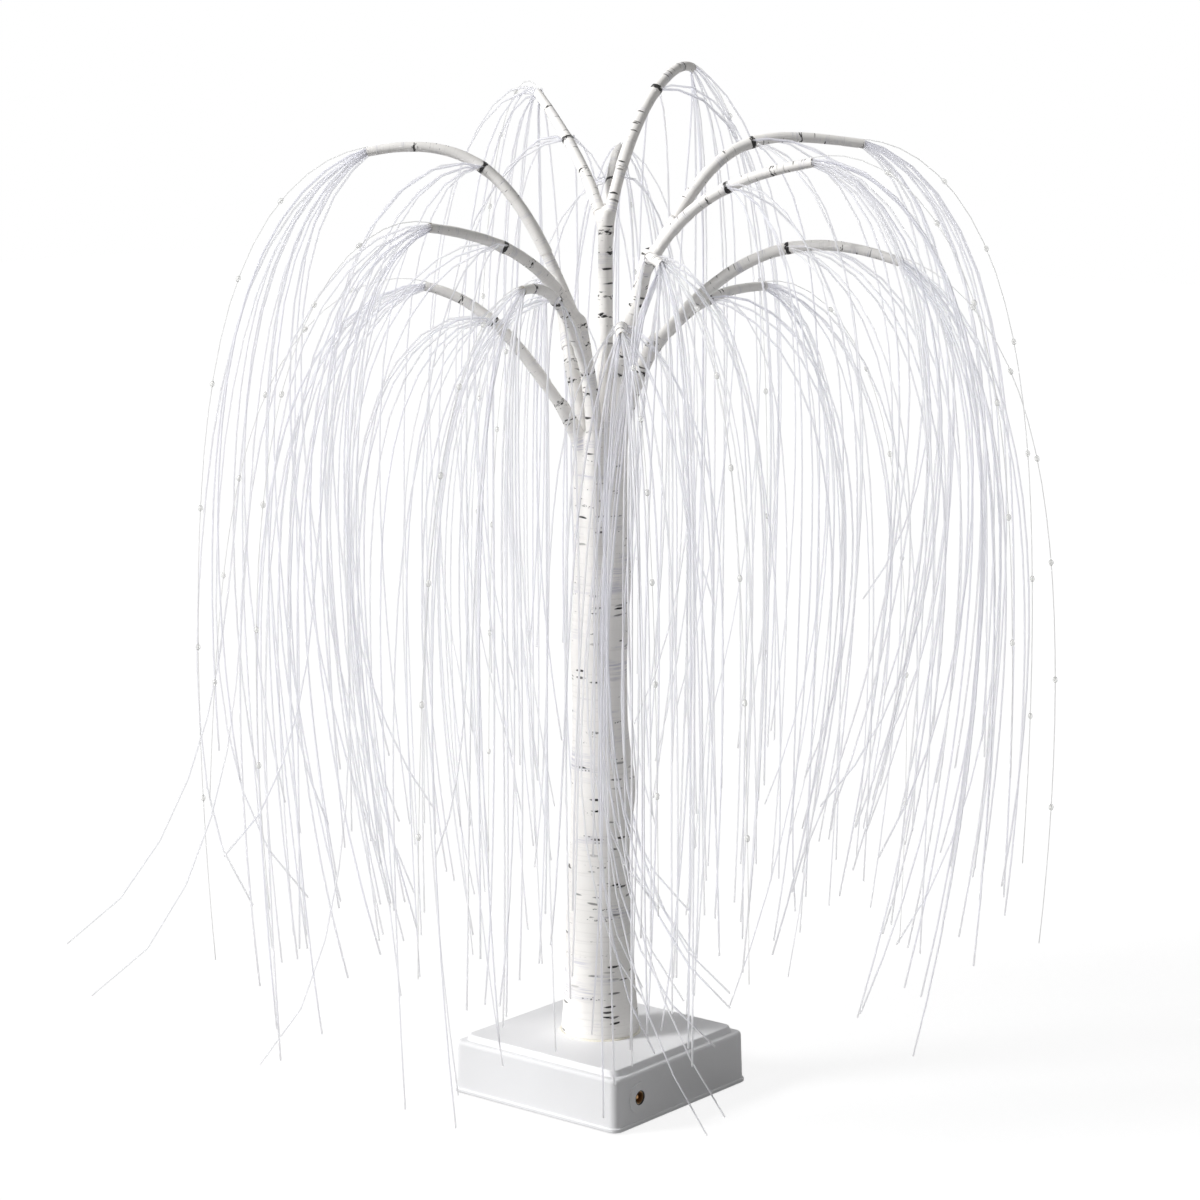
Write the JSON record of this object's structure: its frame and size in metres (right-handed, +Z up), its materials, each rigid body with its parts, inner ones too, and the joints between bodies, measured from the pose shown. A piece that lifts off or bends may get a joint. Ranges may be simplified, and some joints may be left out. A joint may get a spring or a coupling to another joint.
{
  "type": "tree lamp",
  "caption": "Table lamp shaped as a white birch tree: a flared trunk on a square battery base forks into curved branches that shed long drooping strands with light beads.",
  "frame": {"origin": "centre of the square base on the plane that its feet stand on", "axes": "+Z up along the trunk; the base is square to X and Y, and the power inlet is in the +X wall near the -Y corner"},
  "size_m": [0.4553, 0.443, 0.593],
  "materials": {
    "white_plastic": "smooth satin white",
    "foot_rubber": "matt rubber",
    "steel": "zinc plated",
    "spring_steel": "nickel plated",
    "cell_wrap": "plain printed sleeve without marks",
    "board_green": "solder resist",
    "switch_grey": "matt",
    "black_plastic": "matt black",
    "brass": "bare contact metal",
    "lead_red": "insulated wire",
    "lead_white": "insulated wire",
    "birch_bark": "white birch print with dark bars",
    "willow_strand": "thin white plastic strand, a little see-through",
    "led_bead": "clear resin drop over a small light"
  },
  "bodies": {
    "lamp": {"base_housing": "white_plastic", "base_plate": "white_plastic", "rubber_feet": "foot_rubber", "plate_screws": "steel", "battery_cells": "cell_wrap", "battery_springs": "spring_steel", "contact_plates": "spring_steel", "circuit_board": "board_green", "board_screws": "steel", "switch_body": "switch_grey", "dc_jack": "black_plastic", "jack_contacts": "brass", "base_leads": "lead_red", "crown_lead": "lead_white", "trunk_tube": "steel", "tube_washer": "steel", "tube_nut": "steel", "trunk": "birch_bark", "limb_1": "birch_bark", "limb_2": "birch_bark", "limb_3": "birch_bark", "limb_4": "birch_bark", "limb_5": "birch_bark", "limb_6": "birch_bark", "branch_01": "birch_bark", "branch_02": "birch_bark", "branch_03": "birch_bark", "branch_04": "birch_bark", "branch_05": "birch_bark", "branch_06": "birch_bark", "branch_07": "birch_bark", "branch_08": "birch_bark", "branch_09": "birch_bark", "branch_10": "birch_bark", "branch_11": "birch_bark", "branch_12": "birch_bark", "branch_13": "birch_bark", "branch_14": "birch_bark", "strands_01": "willow_strand", "strands_02": "willow_strand", "strands_03": "willow_strand", "strands_04": "willow_strand", "strands_05": "willow_strand", "strands_06": "willow_strand", "strands_07": "willow_strand", "strands_08": "willow_strand", "strands_09": "willow_strand", "strands_10": "willow_strand", "strands_11": "willow_strand", "strands_12": "willow_strand", "strands_13": "willow_strand", "strands_14": "willow_strand", "led_string_1": "led_bead", "led_string_2": "led_bead", "led_string_3": "led_bead", "led_string_4": "led_bead"},
    "door": {"battery_door": "white_plastic"},
    "slider": {"switch_slider": "black_plastic"}
  },
  "joints": [
    {"name": "battery_door_hinge", "type": "hinge", "parent": "lamp", "child": "door", "pos_m": [-0.0381, 0.0293, 0.001], "axis": [0, 1, 0], "range_deg": [0, 75]},
    {"name": "switch_slide", "type": "slide", "parent": "lamp", "child": "slider", "axis": [0, 1, 0], "range_m": [0, 0.004]}
  ]
}
